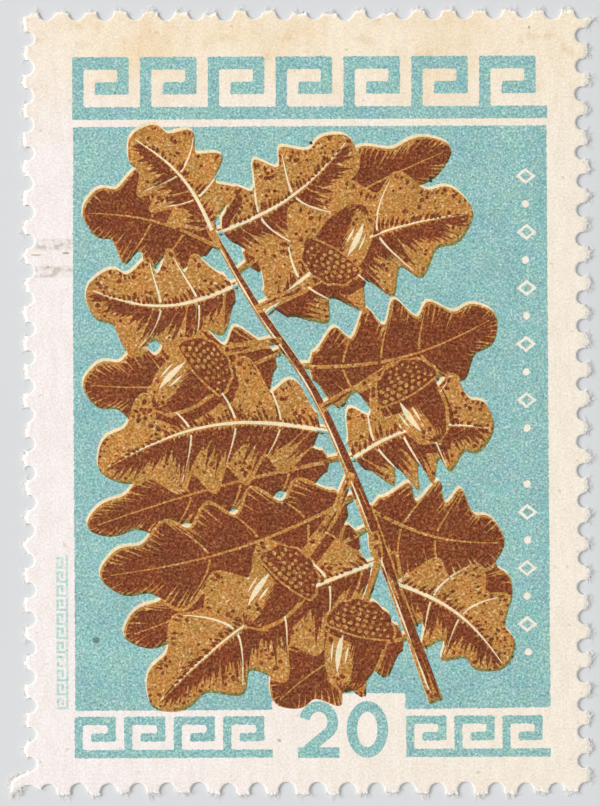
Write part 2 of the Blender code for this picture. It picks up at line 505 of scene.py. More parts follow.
def makePaper(region, helpers):
    paper = slabObject("stampPaper", [region], layers["gumTop"], layers["paperTop"])
    growMesh(paper, edgeReliefTree(), {
        "Punched Edges": helpers["punched"], "Torn Edges": helpers["torn"],
        "Rim Width": sheet["rimWidth"] * mm, "Rim Drop": sheet["rimDrop"] * mm,
        "Feather Width": sheet["featherWidth"] * mm, "Feather Drop": sheet["featherDrop"] * mm,
        "Middle Height": (layers["gumTop"] + layers["paperTop"]) / 2 * mm, "Paper": paperMaterial(),
    })
    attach(paper, "root")
    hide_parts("paper")
    reportPiece(paper)


gum = {
    "roughness": 0.22, "ior": 1.50, "bump": 0.5, "bumpDepth": 0.03,
    # thicker pools and small bubbles: colour, how many to the millimetre, how strong on the pattern
    "colour": "#F1E6C4", "pool": "#DCC792", "poolPerMm": 0.26, "poolShare": ((0.35, 0.0), (0.70, 0.8)),
    "bubble": "#FBF4E2", "bubblePerMm": 3.6, "bubbleShare": ((0.05, 0.35), (0.14, 0.0)),
    # brush ripples, in mm, and the crackle between them
    "ripplePitch": 0.9, "crackPerMm": 1.3, "crackEdge": ((0.0, 0.0), (0.06, 1.0)),
    # a wave texture's bands lie 0.314 of its unit apart
    "waveSpan": 0.314,
    # roughness from the glossiest film to the dullest
    "glossRun": (0.14, 0.42),
}


def gumMaterial():
    # dried dextrin gum: brushed on wet and dried to a thin cracked film, pale straw and half glossy
    material, add, shader = newMaterial("driedGum", gum["roughness"], gum["ior"])
    coords = add("TexCoord").outputs["Object"]
    pool = add("TexNoise", {"Vector": coords, "Scale": gum["poolPerMm"] / mm, "Detail": 3.0})
    bubbles = add("TexVoronoi", {"Vector": coords, "Scale": gum["bubblePerMm"] / mm})
    colour = gum["colour"]
    for pattern, layer in ((pool, "pool"), (bubbles, "bubble")):
        share = add("ValToRGB", (pattern,), gum[layer + "Share"])
        colour = add("Mix", {0: share, 6: colour, 7: gum[layer]}, data_type="RGBA")
    ripple = add("TexWave", {
        "Vector": coords, "Scale": gum["waveSpan"] / (gum["ripplePitch"] * mm), "Distortion": 2.4,
        "Detail": 2.0, "Detail Scale": 1.4,
    }, bands_direction="Y").outputs["Fac"]
    crackle = {"Vector": coords, "Scale": gum["crackPerMm"] / mm}
    crackEdge = add("ValToRGB", (add("TexVoronoi", crackle, feature="DISTANCE_TO_EDGE"),), gum["crackEdge"])
    height = add("Math", (ripple, crackEdge), operation="ADD")
    bump = add("Bump", {"Strength": gum["bump"], "Distance": gum["bumpDepth"] * mm, "Height": height})
    wet = add("MapRange", (pool, 0.0, 1.0, *gum["glossRun"]))
    setInputs(shader, {"Base Color": colour, "Normal": bump, "Roughness": wet})
    return material


def makeGum(region):
    film = slabObject("gumLayer", [region], 0.0, layers["gumTop"])
    film.data.materials.append(gumMaterial())
    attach(film, "root")
    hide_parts("gum")
    reportPiece(film)


# the printed panel and its bands, in mm from the middle of the hole lines
panel = {
    "outline": (
        (-11.46, -15.27), (-1.73, -15.26), (-1.73, -14.45), (4.86, -14.45), (4.86, -15.25), (12.03, -15.17),
        (11.94, 13.60), (-11.455, 13.59), (-11.485, 9.0), (-11.50, 4.0), (-11.48, -4.5),
    ),
    # how far the plates stand off each other
    "plateShift": (-0.07, 0.15), "brownShift": (0.03, -0.05),
    "edgeRough": 0.026, "edgeStep": 0.075, "cornerCut": 0.06, "seed": 7,
}

sideMarks = {
    # column of open lozenges and dots left unprinted down the panel's right side
    "x": 10.92, "top": 11.10, "pitch": 1.385, "count": 18, "skip": (10,), "wander": 0.03,
    "dot": 0.19, "dotSides": 8, "lozengeWide": 0.50, "lozengeTall": 0.40, "core": 0.58,
    "edgeStep": 0.1, "edgeRough": 0.018,
}


def roughLoop(loop, step, rough, rng, cut=0.0, still=lambda point: False):
    # outline redrawn with points every step and a slight ink spread, its corners cut by a little;
    # still points stay
    if cut:
        blunt = []
        for before, corner, after in zip(loop[-1:] + loop[:-1], loop, loop[1:] + loop[:1]):
            ends = () if still(corner) else (before, after)
            blunt += [between(corner, end, cut / math.dist(corner, end)) for end in ends] or [corner]
        loop = blunt
    points = []
    for a, b in zip(loop, loop[1:] + loop[:1]):
        count = max(1, round(math.dist(a, b) / step))
        for k in range(count):
            point = between(a, b, k / count)
            if not still(point):
                point = tuple(value + rng.uniform(-rough, rough) for value in point)
            points.append(point)
    return points


def markLoops(rng):
    # outlines of the side marks, and the ink left standing in the lozenges
    marks, cores = [], []
    edge = (sideMarks["edgeStep"], sideMarks["edgeRough"], rng)
    dot = (sideMarks["dot"], sideMarks["dot"], sideMarks["dotSides"])
    for index in range(sideMarks["count"]):
        if index in sideMarks["skip"]:
            continue
        x = sideMarks["x"] + rng.uniform(-1, 1) * sideMarks["wander"]
        y = sideMarks["top"] - index * sideMarks["pitch"]
        if index % 2:
            marks.append(roughLoop(ringLoop(x, y, *dot), *edge))
            continue
        for scale, target in ((1.0, marks), (sideMarks["core"], cores)):
            lozenge = ringLoop(x, y, sideMarks["lozengeWide"] * scale, sideMarks["lozengeTall"] * scale, 4)
            target.append(roughLoop(lozenge, *edge))
    return marks, cores


inks = {
    # body, lighter and darker grain, grain size in mm, noise level round which pinholes start, their colour
    "turquoise": ("#90BDB9", "#C3E6DE", "#64979A", 0.062, 0.74, "#DCE9DC"),
    "ochre": ("#BD7E37", "#E4B874", "#935A1E", 0.070, 0.70, "#EBD2A0"),
    "brown": ("#7B3914", "#AA6747", "#521C04", 0.070, 0.68, "#B0703A"),
    "wash": ("#F6E1B8", "#FCEFD4", "#E9CF9E", 0.085, 0.80, "#FFF8EA"),
    "fine": ("#BFDCD2", "#DDEBE0", "#98C2BA", 0.070, 0.62, "#F0EDE6"),
    "speck": ("#33352F", "#4A4C42", "#23251F", 0.08, 0.90, "#5A5C50"),
    "greySpeck": ("#6C857C", "#86A097", "#566E68", 0.08, 0.90, "#9DB3AA"),
    "trace": ("#C4BBA5", "#D8D0BF", "#A89F87", 0.08, 0.72, "#E8E0D0"),
    # how the turquoise under it tints an ink printed over it
    "ochreOver": "#B4ECFF", "brownOver": "#B4FFFF",
    "roughness": 0.62, "ior": 1.47, "specular": 0.25, "bump": 0.25, "bumpDepth": 0.02, "fuzzPerMm": 12.0,
    # where the dark, body and light grain stand on the noise; a grain spans about 0.6 of the noise's unit
    "grainStops": (0.315, 0.50, 0.685), "grainSpan": 0.6,
    "pinSize": 0.10, "pinEdge": (-0.06, 0.04), "pinShare": 0.85,
    # slow drift in strength, and how far each colour channel wanders in patches half a millimetre wide
    "driftPerMm": 0.52, "driftTint": ((0.30, (0.90, 0.935, 0.97)), (0.70, (1.07, 1.055, 1.02))),
    "huePerMm": 1.5, "hueSpread": (0.44, 0.16, 0.27),
}


def inkMaterial(name, ink, overprint=None):
    # thin gravure ink soaked into the paper: matt, mottled by the paper's tooth, with pinholes
    body, light, dark, grainSize, pinStop, pinColour = ink
    material, add, shader = newMaterial(name, inks["roughness"], inks["ior"])
    coords = add("TexCoord").outputs["Object"]
    grain = add("TexNoise", {"Vector": coords, "Scale": inks["grainSpan"] / (grainSize * mm), "Detail": 3.0,
                             "Roughness": 0.6, "Distortion": 0.7})
    drift = add("TexNoise", {"Vector": coords, "Scale": inks["driftPerMm"] / mm, "Detail": 3.0})
    driftTint = add("ValToRGB", (drift,), inks["driftTint"])
    hues = add("TexNoise", {"Vector": coords, "Scale": inks["huePerMm"] / mm, "Detail": 2.0}).outputs["Color"]
    level = [1 - spread / 2 for spread in inks["hueSpread"]]
    hueTint = add("VectorMath", (hues, inks["hueSpread"], level), operation="MULTIPLY_ADD")
    pinScale = inks["grainSpan"] / (inks["pinSize"] * mm)
    pins = add("TexNoise", {"Vector": coords, "Scale": pinScale, "Detail": 1.0})
    pinStart, pinFull = (pinStop + edge for edge in inks["pinEdge"])
    pinMask = add("ValToRGB", (pins,), ((pinStart, 0.0), (pinFull, inks["pinShare"])))
    coats = [(1.0, driftTint, "MULTIPLY"), (1.0, hueTint, "MULTIPLY"), (pinMask, pinColour, "MIX")]
    if overprint:
        over = add("Attribute", attribute_name="overTurquoise").outputs["Fac"]
        coats.append((over, overprint, "MULTIPLY"))
    colour = add("ValToRGB", (grain,), tuple(zip(inks["grainStops"], (dark, body, light))))
    for share, tint, blend in coats:
        colour = add("Mix", {0: share, 6: colour, 7: tint}, data_type="RGBA", blend_type=blend)
    fuzz = add("TexNoise", {"Vector": coords, "Scale": inks["fuzzPerMm"] / mm, "Detail": 3.0})
    bump = add("Bump", {"Strength": inks["bump"], "Distance": inks["bumpDepth"] * mm, "Height": fuzz})
    setInputs(shader, {"Specular IOR Level": inks["specular"], "Base Color": colour, "Normal": bump})
    return material


def finishPiece(piece, material=None):
    if material:
        piece.data.materials.append(material)
    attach(piece, "root")
    reportPiece(piece)


# oak sprig, in millimetres from the middle of the hole lines
sprig = {
    # gap between a form in front and the brown behind it, and the shadow that it throws there
    "seed": 31, "rimGap": 0.10, "shadowShift": (0.26, -0.42), "shadowGrow": 0.10,
    # brown's inset on a dark leaf, a stroke's least width, and how near a form's gap in the plate counts
    "darkInset": 0.07, "leastWidth": 0.012, "knockReach": 0.3,
    # share of a path on each side of a point that gives its direction there
    "normalReach": 0.004,
    "twig": ((6.4, -14.9), (4.6, -10.0), (2.6, -4.6), (0.4, 0.4), (-2.4, 4.6), (-4.6, 8.4)),
    "twigWidths": (0.66, 0.32), "twigSteps": 40, "twigStrokes": 34,
    "stalkWidths": (0.34, 0.34), "stalkSteps": 14, "stalkStrokes": 5, "stalkBow": (0.35, 0.1),
    "leaves": (
        # share of the twig where it grows, tip, bend, half width, lobes, shaded side, tone; front to back
        (0.46, (9.3, -1.4), 0.9, 2.9, 5, -1, "light"),
        (0.52, (-10.2, -3.4), -1.3, 3.1, 5, 1, "light"),
        (0.78, (8.3, 9.3), 1.2, 3.2, 5, -1, "light"),
        (0.28, (-7.6, -15.1), -1.0, 3.1, 5, 1, "light"),
        (0.86, (-10.8, 5.6), 1.0, 2.6, 4, 1, "light"),
        (1.0, (-8.6, 13.1), -0.6, 2.15, 4, 1, "light"),
        (0.99, (2.2, 13.0), -0.7, 2.3, 4, -1, "light"),
        (0.24, (9.8, -13.2), 0.7, 2.4, 4, -1, "light"),
        (0.66, (9.4, 4.2), -0.8, 2.6, 5, -1, "dark"),
        (0.70, (-11.0, 0.9), 0.8, 2.5, 5, 1, "dark"),
        (0.38, (9.8, -7.0), -0.6, 2.6, 4, -1, "dark"),
        (0.40, (-10.2, -8.6), 0.7, 2.6, 5, 1, "dark"),
        (0.88, (7.2, 12.5), 0.5, 2.1, 4, -1, "dark"),
        (0.14, (-1.6, -14.9), -0.7, 2.2, 4, 1, "dark"),
        (0.33, (10.0, -10.2), 0.3, 2.4, 4, -1, "dark"),
        (0.94, (-11.0, 9.4), -0.5, 2.5, 4, 1, "dark"),
        (0.34, (-9.0, -11.6), 0.3, 2.4, 5, 1, "dark"),
        (0.47, (-10.8, -6.2), -0.3, 2.0, 5, 1, "dark"),
    ),
    "acorns": (
        # middle of the cup's mouth, direction of the nut in degrees, length, radius, share of the twig
        ((2.6, -11.2), -104, 3.4, 1.42, 0.33),
        ((-1.0, -8.6), -130, 3.3, 1.36, 0.44),
        ((5.0, 0.7), -60, 3.2, 1.34, 0.57),
        ((-5.2, 1.7), -140, 3.2, 1.34, 0.72),
        ((1.3, 7.2), 58, 3.1, 1.30, 0.80),
    ),
}


def evenly(count):
    return [k / (count - 1) for k in range(count)]


def curvePoint(path, share):
    # smooth point on an open run of points, by Catmull-Rom
    count = len(path) - 1
    place = min(max(share, 0.0), 0.999999) * count
    index = int(place)
    t = place - index
    a, b, c, d = (path[min(max(index + k, 0), count)] for k in (-1, 0, 1, 2))
    return tuple(
        0.5 * (2 * q + (r - p) * t + (2 * p - 5 * q + 4 * r - s) * t * t + (3 * q - p - 3 * r + s) * t ** 3)
        for p, q, r, s in zip(a, b, c, d)
    )


def alongside(path, share, side):
    # point beside the run of points; to its left where side is above 0
    ahead, behind = (curvePoint(path, share + way * sprig["normalReach"]) for way in (1, -1))
    return stepOff(curvePoint(path, share), rightOf(ahead, behind), side)


def strokeLoop(dabs):
    # closed outline of a brush stroke through (point, width) pairs, pointed where the width is 0
    points = [point for point, _ in dabs]
    left, right = [], []
    for before, (point, width), after in zip(points[:1] + points, dabs, points[1:] + points[-1:]):
        way, half = rightOf(before, after), max(width, sprig["leastWidth"]) / 2
        left.append(stepOff(point, way, -half))
        right.append(stepOff(point, way, half))
    return left + right[::-1]


def taper(t, head, tail):
    # 0 to 1 to 0 along a stroke, rising over the head share and falling over the tail share
    return min(1.0, t / head, (1 - t) / tail)


# a lobed leaf: the share of its midrib that is stalk, then the blade's numbers
leaf = {
    "stalk": 0.07, "stalkHalf": 0.13, "stalkGain": 0.04, "outlineSteps": 88,
    "leastHalf": 0.15, "baseStart": 0.06, "widest": 0.86, "bulge": 0.72,
    # how the lobes crowd towards the tip, where they stand, how deep they are cut and how round they are
    "lobeCrowd": 0.92, "lobePhase": 0.12, "lobePeak": 0.62, "lastPeak": 0.96,
    "lobeDepth": 0.46, "depthAtBase": 1.15, "depthLoss": 0.55, "lobeRound": 0.85,
    "swell": 0.05, "swellTurns": 9, "swellPhase": (0, 6.28), "lean": 0.020,
    # veins: how far they run on the midrib and over the half width, and their widths in mm
    "midribWidth": 0.21, "midribRun": (0.02, 0.93), "midribThin": 0.75, "midribSteps": 25,
    "veinWidth": 0.13, "veinRun": (0.07, 0.82), "veinThin": 0.7, "veinBack": 0.13, "veinBow": 1.5,
    "veinSteps": 9,
}

# strokes beside the side veins, in mm and in shares of the leaf's length and half width
hatch = {
    "pitch": 0.27, "width": 0.16, "shadedGain": 1.6, "lightWidth": 0.13,
    "first": 0.05, "run": 0.86, "wander": 0.25, "reachAt": 0.11, "sweep": 0.12, "bow": 1.15,
    "wobble": 0.02, "press": (0.85, 1.15),
    "shadedStart": 0.02, "shadedEnd": (0.50, 0.90), "litStart": 0.055, "litEnd": (0.14, 0.36),
    "rimStart": (0.84, 0.92), "rimChance": 0.6,
    "lightStart": (0.44, 0.82), "lightEnd": 1.05, "lightChance": 0.8,
    # the head and the tail that taper, for lights, strokes from the midrib and strokes near the rim
    "lightTaper": (0.9, 0.05), "rootTaper": (0.12, 0.45), "rimTaper": (0.5, 0.45), "rootBefore": 0.1,
    "longSpan": 0.3, "longSteps": 9, "shortSteps": 5, "lengthSteps": 21,
}


def leafPath(base, tip, bend):
    # a midrib bowed to its left by the bend
    way = rightOf(tip, base)
    return [stepOff(between(base, tip, t), way, bend * math.sin(math.pi * t)) for t in evenly(6)]


def leafHalf(t, half, lobes):
    # half width of a lobed leaf at t along its midrib; stalk first, widest past the middle
    if t < leaf["stalk"]:
        return leaf["stalkHalf"] + leaf["stalkGain"] * t / leaf["stalk"]
    u = (t - leaf["stalk"]) / (1 - leaf["stalk"])
    rise = min(1.0, leaf["baseStart"] + (1 - leaf["baseStart"]) * u)
    body = math.sin(math.pi * rise ** leaf["widest"]) ** leaf["bulge"]
    wave = 0.5 - 0.5 * math.cos(2 * math.pi * (lobes * u ** leaf["lobeCrowd"] - leaf["lobePhase"]))
    depth = leaf["lobeDepth"] * (leaf["depthAtBase"] - leaf["depthLoss"] * u)
    return leaf["leastHalf"] + half * body * (1 - depth * (1 - wave ** leaf["lobeRound"]))


def leafOutline(path, half, lobes, rng):
    sides = []
    for side in (1, -1):
        run, phase = [], rng.uniform(*leaf["swellPhase"])
        for t in evenly(leaf["outlineSteps"]):
            swell = 1 + leaf["swell"] * math.sin(leaf["swellTurns"] * t + phase)
            lean = leaf["lean"] * math.sin(math.pi * t)
            run.append(alongside(path, t + lean, side * leafHalf(t, half, lobes) * swell))
        sides.append(run)
    return sides[0] + sides[1][::-1]


def lobeShares(lobes):
    # where the lobes stand furthest out
    peaks = [((k + leaf["lobePeak"]) / lobes) ** (1 / leaf["lobeCrowd"]) for k in range(lobes)]
    return [min(leaf["lastPeak"], leaf["stalk"] + (1 - leaf["stalk"]) * peak) for peak in peaks]


def leafVeins(path, half, lobes):
    start, run = leaf["midribRun"]
    veins = [strokeLoop([
        (curvePoint(path, start + run * t), leaf["midribWidth"] * (1 - leaf["midribThin"] * t))
        for t in evenly(leaf["midribSteps"])
    ])]
    start, run = leaf["veinRun"]
    for side in (1, -1):
        for peak in lobeShares(lobes)[:-1]:
            reach, dabs = side * leafHalf(peak, half, lobes), []
            for t in evenly(leaf["veinSteps"]):
                out = start + run * t
                along = peak - leaf["veinBack"] * (1 - out ** leaf["veinBow"])
                width = leaf["veinWidth"] * (1 - leaf["veinThin"] * t)
                dabs.append((alongside(path, along, out * reach), width))
            veins.append(strokeLoop(dabs))
    return veins


def hatchSpans(lit, tone, rng):
    # where strokes start and end between the midrib and the rim, and how wide they get
    if tone == "dark":
        spans = [(rng.uniform(*hatch["lightStart"]), hatch["lightEnd"])]
        return spans * (rng.random() < hatch["lightChance"]), hatch["lightWidth"]
    if not lit:
        spans = [(hatch["shadedStart"], rng.uniform(*hatch["shadedEnd"]))]
        return spans, hatch["width"] * hatch["shadedGain"]
    spans = [(hatch["litStart"], rng.uniform(*hatch["litEnd"]))]
    if rng.random() < hatch["rimChance"]:
        spans.append((rng.uniform(*hatch["rimStart"]), 1.0))
    return spans, hatch["width"]


def leafHatch(path, half, lobes, shaded, tone, rng):
    # short strokes beside the side veins: long on a shaded half, short on a lit half, and on a dark leaf
    # the lights that run in from its edge
    places = [curvePoint(path, t) for t in evenly(hatch["lengthSteps"])]
    length = sum(math.dist(a, b) for a, b in zip(places, places[1:]))
    count = int(length / hatch["pitch"])
    strokes = []
    for side in (1, -1):
        for index in range(count):
            place = (index + rng.uniform(-1, 1) * hatch["wander"]) / count
            root = hatch["first"] + hatch["run"] * place
            reach = side * leafHalf(min(root + hatch["reachAt"], 1.0), half, lobes)
            spans, full = hatchSpans(side != shaded, tone, rng)
            for start, end in spans:
                ends = "light" if tone == "dark" else "root" if start < hatch["rootBefore"] else "rim"
                steps = hatch["longSteps"] if end - start > hatch["longSpan"] else hatch["shortSteps"]
                dabs = []
                for t in evenly(steps):
                    out = start + (end - start) * t
                    wobble = rng.uniform(-1, 1) * hatch["wobble"]
                    point = alongside(path, root + hatch["sweep"] * out ** hatch["bow"], out * reach + wobble)
                    press = rng.uniform(*hatch["press"])
                    dabs.append((point, full * taper(t, *hatch[ends + "Taper"]) * press))
                strokes.append(strokeLoop(dabs))
    return strokes


# an acorn, in mm and in shares of the nut's length and radius
acorn = {
    "shoulder": 0.80, "beak": 0.94, "beakHalf": 0.10, "bodyTaper": (0.92, 3.1, 0.62), "crown": (0.60, 1.6),
    "outlineSteps": 27, "cupRim": 1.20, "cupDepth": 0.46, "cupMouth": 0.16, "cupLip": 0.20, "cupRound": 0.8,
    "cupSteps": 36, "lipSteps": 10, "cupBumps": 11, "bumpRise": 0.03, "bumpWander": 0.012, "cupInset": 0.97,
    "scaleRows": 6, "scalePitch": 0.36, "scaleSize": 0.13, "scaleSides": 7, "scaleSquash": 0.78,
    "scaleWander": (0.8, 1.15), "scaleGap": 0.10, "scaleReach": 0.94, "scaleTop": 0.20,
    # the scales' rows: where the first lies, how they crowd, bow and follow the bowl, and how scales shrink
    # up the cup and towards its shaded side and lean outwards from its middle
    "firstRow": 0.55, "rowCrowd": 0.9, "rowBow": 0.10, "bowlPower": 2.2,
    "scaleShrink": 0.35, "scaleShade": (1.15, 0.45), "scaleLean": 0.5,
    # strokes on the nut: where they lie across it from its lit to its shaded side, and how long they get
    "strokes": 13, "strokeAcross": (-0.22, 1.04), "strokeStart": (0.03, 0.06), "strokeRun": (0.30, 0.62),
    "strokeGrow": 0.45, "strokeSlack": 0.10, "strokeWidth": (0.10, 0.22), "strokeGain": 2.5,
    "strokeSteps": 9, "strokeTaper": (0.06, 0.45), "strokeInset": 0.985,
    "tipStrokes": 7, "tipAcross": (-0.6, 1.4), "tipRun": (0.95, 0.82),
    "tipDabs": ((0.0, 0.15), (0.33, 0.13), (0.66, 0.08), (1.0, 0.0)),
    # lights: place across, start, end, width; and the part of a half wave that shapes them
    "lightWave": (0.04, 0.92),
    "lights": ((-0.52, 0.14, 0.70, 0.30), (-0.22, 0.30, 0.56, 0.12), (-0.78, 0.28, 0.58, 0.10)),
    "stalkRoot": -0.40,
}


def turnedPoint(middle, angle, along, across):
    return (
        middle[0] + along * math.cos(angle) - across * math.sin(angle),
        middle[1] + along * math.sin(angle) + across * math.cos(angle),
    )


def nutPoint(nut, along, across):
    return turnedPoint(nut[0], math.radians(nut[1]), along, across)


def nutHalf(t, radius):
    # half width of the nut at t from the cup's mouth to its tip
    shoulder, beak, beakHalf = acorn["shoulder"], acorn["beak"], acorn["beakHalf"]
    if t < shoulder:
        span, power, loss = acorn["bodyTaper"]
        return radius * (1 - (t / span) ** power * loss)
    if t < beak:
        wide, power = acorn["crown"]
        return max(0.0, radius * wide * (1 - ((t - shoulder) / (beak - shoulder)) ** power) + beakHalf)
    return beakHalf * (1 - (t - beak) / (1 - beak))


def nutOutline(nut):
    _, _, length, radius = nut
    steps = evenly(acorn["outlineSteps"])
    up = [nutPoint(nut, t * length, nutHalf(t, radius)) for t in steps]
    down = [nutPoint(nut, t * length, -nutHalf(t, radius)) for t in steps[::-1]]
    return up + down[1:-1]


def cupOutline(nut, rng, inset=1.0):
    # bowl over the nut's top, its rim a little wider than the nut
    _, _, length, radius = nut
    rim, deep, mouth = radius * inset * acorn["cupRim"], length * acorn["cupDepth"], acorn["cupMouth"]
    points = []
    for t in evenly(acorn["cupSteps"]):
        angle = math.pi * t
        wander = rng.uniform(-1, 1) * acorn["bumpWander"]
        bump = 1 + acorn["bumpRise"] * math.sin(acorn["cupBumps"] * angle) + wander
        along = mouth - deep * math.sin(angle) ** acorn["cupRound"] * bump
        points.append(nutPoint(nut, along, rim * math.cos(angle) * bump))
    for k in range(1, acorn["lipSteps"]):
        t = k / acorn["lipSteps"]
        points.append(nutPoint(nut, mouth + acorn["cupLip"] * math.sin(math.pi * t), -rim + 2 * rim * t))
    return points


def cupScales(nut, rng):
    # rows of small ochre scales left open in the brown of the cup
    _, angle, length, radius = nut
    rim, deep, rows = radius * acorn["cupRim"], length * acorn["cupDepth"], acorn["scaleRows"]
    scales = []
    for row in range(rows):
        up = (row + acorn["firstRow"]) / rows
        along = acorn["scaleTop"] - deep * up ** acorn["rowCrowd"]
        fall = max(0.0, acorn["cupMouth"] - along) / deep
        half = rim * math.sqrt(max(0.0, 1 - fall ** acorn["bowlPower"])) * acorn["scaleReach"]
        rowSize = acorn["scaleSize"] * (1 - acorn["scaleShrink"] * up)
        count = max(2, round(half * 2 / acorn["scalePitch"]))
        for index in range(count):
            across = (index + 0.5 + 0.5 * (row % 2)) / count * 2 - 1
            if abs(across) > acorn["scaleReach"] or rng.random() < acorn["scaleGap"]:
                continue
            size = rowSize * (acorn["scaleShade"][0] - acorn["scaleShade"][1] * max(0.0, across))
            middle = nutPoint(nut, along + acorn["rowBow"] * (1 - across * across), across * half)
            turn = math.radians(angle) + acorn["scaleLean"] * across
            ring = []
            for x, y in ringLoop(0.0, 0.0, acorn["scaleSquash"] * size, size, acorn["scaleSides"]):
                ring.append(turnedPoint(middle, turn, x, y * rng.uniform(*acorn["scaleWander"])))
            scales.append(ring)
    return scales


def nutStroke(nut, across, start, end, dabs):
    # brush stroke along the nut at a share of its half width; dabs are (share of the stroke, width)
    _, _, length, radius = nut
    placed = []
    for share, width in dabs:
        t = start + (end - start) * share
        placed.append((nutPoint(nut, t * length, across * nutHalf(t, radius)), width))
    return strokeLoop(placed)


def nutStrokes(nut, rng):
    # brown strokes run with the nut and crowd together on its shaded side
    strokes = []
    first, run = acorn["strokeAcross"]
    for t in evenly(acorn["strokes"]):
        across = first + run * t
        start = rng.uniform(*acorn["strokeStart"])
        grown = min(1.0, max(0.0, across - first) / acorn["strokeGrow"])
        least, most = acorn["strokeRun"]
        end = least + most * grown - rng.uniform(0, acorn["strokeSlack"])
        thin, gain = acorn["strokeWidth"]
        full = thin + gain * min(1.0, max(0.0, across * acorn["strokeGain"]))
        dabs = [(w, full * taper(w, *acorn["strokeTaper"])) for w in evenly(acorn["strokeSteps"])]
        strokes.append(nutStroke(nut, across * acorn["strokeInset"], start, end, dabs))
    first, run = acorn["tipAcross"]
    for t in evenly(acorn["tipStrokes"]):
        strokes.append(nutStroke(nut, first + run * t, *acorn["tipRun"], acorn["tipDabs"]))
    return strokes


def nutLights(nut):
    first, run = acorn["lightWave"]
    lights = []
    for across, start, end, width in acorn["lights"]:
        dabs = [(w, width * math.sin(math.pi * (first + run * w))) for w in evenly(acorn["strokeSteps"])]
        lights.append(nutStroke(nut, across, start, end, dabs))
    return lights


# bark on the twig and the acorns' stalks, in shares of their width and length
bark = {
    "knotRise": 0.10, "knotTurns": 17, "knotPhase": 1.3, "knotWander": 0.05,
    "across": (-1.0, 0.25), "start": (0, 0.86), "length": (0.08, 0.2), "steps": 9,
    "width": 0.34, "taper": (0.3, 0.4),
    "lightRun": (0.04, 0.9), "lightAcross": 0.24, "lightWidth": 0.16, "lightSteps": 31,
    "flicker": (0.6, 0.4), "flickerTurn": 1.7,
}


def bandOutline(path, widths, rng, steps):
    left, right = [], []
    for k in range(steps + 1):
        t = k / steps
        half = (widths[0] + (widths[1] - widths[0]) * t) / 2
        wander = rng.uniform(-1, 1) * bark["knotWander"]
        knot = 1 + bark["knotRise"] * math.sin(bark["knotTurns"] * t + bark["knotPhase"]) + wander
        left.append(alongside(path, t, half * knot))
        right.append(alongside(path, t, -half * knot))
    return left + right[::-1]


def bandStrokes(path, widths, rng, count):
    # long grain strokes on the right-hand side of a twig
    strokes = []
    for _ in range(count):
        across, start = rng.uniform(*bark["across"]), rng.uniform(*bark["start"])
        end = min(1.0, start + rng.uniform(*bark["length"]))
        full = widths[0] * bark["width"]
        dabs = []
        for w in evenly(bark["steps"]):
            t = start + (end - start) * w
            half = (widths[0] + (widths[1] - widths[0]) * t) / 2
            dabs.append((alongside(path, t, across * half), full * taper(w, *bark["taper"])))
        strokes.append(strokeLoop(dabs))
    return strokes


def bandLight(path, widths):
    # one thin light line on the twig's left
    start, run = bark["lightRun"]
    thin, gain = (widths[0] * bark["lightWidth"] * share for share in bark["flicker"])
    dabs = []
    for k, t in enumerate(evenly(bark["lightSteps"])):
        side = bark["lightAcross"] * (widths[0] + (widths[1] - widths[0]) * t)
        dabs.append((alongside(path, start + run * t, side), thin + gain * math.sin(k * bark["flickerTurn"])))
    return strokeLoop(dabs)


def grownLoop(loop, gap):
    # the same outline moved outwards by a gap
    outward = gap if signedArea(loop) > 0 else -gap
    afters = loop[2:] + loop[:2]
    return [stepOff(point, rightOf(loop[k - 2], afters[k]), outward) for k, point in enumerate(loop)]


def sprigForms():
    # every drawn form from the front to the back, with its ink shapes
    rng = random.Random(sprig["seed"])
    twig = sprig["twig"]
    forms = []

    def addForm(outline, brown, clear=(), ochre=()):
        forms.append({"outline": outline, "brown": brown, "clear": list(clear), "ochre": list(ochre)})

    for *nut, share in sprig["acorns"]:
        outline = cupOutline(nut, rng)
        addForm(outline, [cupOutline(nut, rng, acorn["cupInset"])], ochre=cupScales(nut, rng))
        addForm(nutOutline(nut), nutStrokes(nut, rng), nutLights(nut))
        top, root = nutPoint(nut, nut[2] * acorn["stalkRoot"], 0.0), curvePoint(twig, share)
        middle, bow = between(top, root, 0.5), sprig["stalkBow"]
        path = [top, (middle[0] + bow[0], middle[1] + bow[1]), root]
        outline = bandOutline(path, sprig["stalkWidths"], rng, sprig["stalkSteps"])
        addForm(outline, bandStrokes(path, sprig["stalkWidths"], rng, sprig["stalkStrokes"]))
    strokes = bandStrokes(twig, sprig["twigWidths"], rng, sprig["twigStrokes"])
    outline = bandOutline(twig, sprig["twigWidths"], rng, sprig["twigSteps"])
    addForm(outline, strokes, [bandLight(twig, sprig["twigWidths"])])
    for share, tip, bend, half, lobes, shaded, tone in sprig["leaves"]:
        path = leafPath(curvePoint(twig, share), tip, bend)
        veins = leafVeins(path, half, lobes)
        strokes = leafHatch(path, half, lobes, shaded, tone, rng)
        outline = leafOutline(path, half, lobes, rng)
        if tone == "light":
            addForm(outline, strokes, veins)
        else:
            addForm(outline, [grownLoop(outline, -sprig["darkInset"])], ochre=veins + strokes)
    return forms


def boxOf(loop):
    return min(x for x, _ in loop), min(y for _, y in loop), max(x for x, _ in loop), max(y for _, y in loop)


def boxesMeet(a, b, margin):
    return all(a[k] - margin < b[k + 2] and b[k] - margin < a[k + 2] for k in (0, 1))


def movedLoop(loop, shift):
    return [(x + shift[0], y + shift[1]) for x, y in loop]


